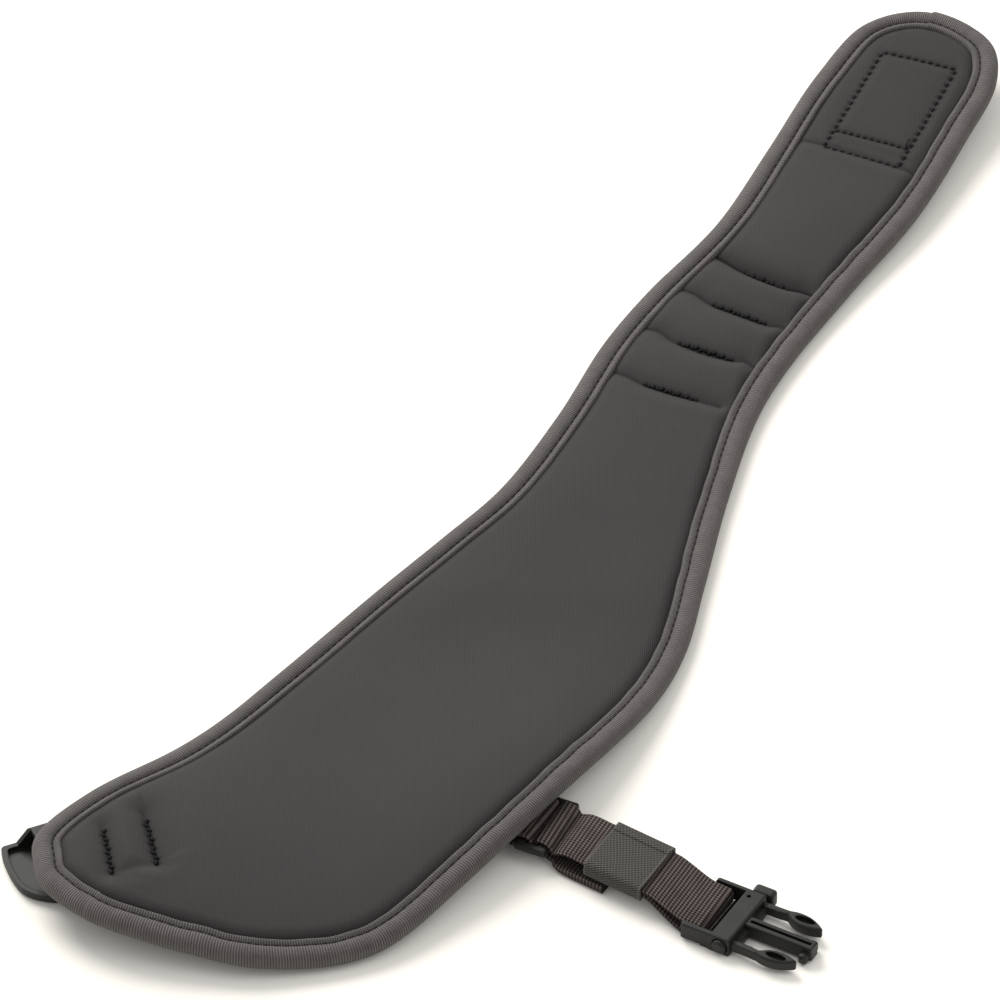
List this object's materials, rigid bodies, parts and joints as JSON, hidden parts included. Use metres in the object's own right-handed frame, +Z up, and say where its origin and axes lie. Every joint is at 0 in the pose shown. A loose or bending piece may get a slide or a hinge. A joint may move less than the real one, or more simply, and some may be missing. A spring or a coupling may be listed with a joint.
{
  "type": "camera neck strap",
  "caption": "Padded neck strap for a camera, bound in ribbed tape, with a short side strap ending in a quick-release buckle half and a matching socket half under its wide end.",
  "frame": {"origin": "below the middle of the whole strap, on the surface it lies on", "axes": "+X along the pad from its wide end to its narrow end, -Y the way the side strap runs, +Z up out of the pad's face"},
  "size_m": [0.516, 0.2328, 0.0179],
  "materials": {
    "neoprene": "fine knit over soft foam",
    "binding_tape": "ribbed tape",
    "webbing": "ribbed flat webbing",
    "elastic": "ribbed elastic",
    "plastic": "satin moulded plastic"
  },
  "bodies": {
    "strap": {"pad": "neoprene", "edge_binding": "binding_tape", "strap_webbing": "webbing", "anchor_webbing": "webbing", "socket_webbing": "webbing", "elastic_keeper": "elastic", "slider": "plastic", "prong_buckle": "plastic", "buckle_socket": "plastic"},
    "lock": {"lock_slide": "plastic"}
  },
  "joints": [
    {"name": "lock_push", "type": "slide", "parent": "strap", "child": "lock", "axis": [0.9962, 0.0872, 0], "range_m": [0, 0.0016]}
  ]
}
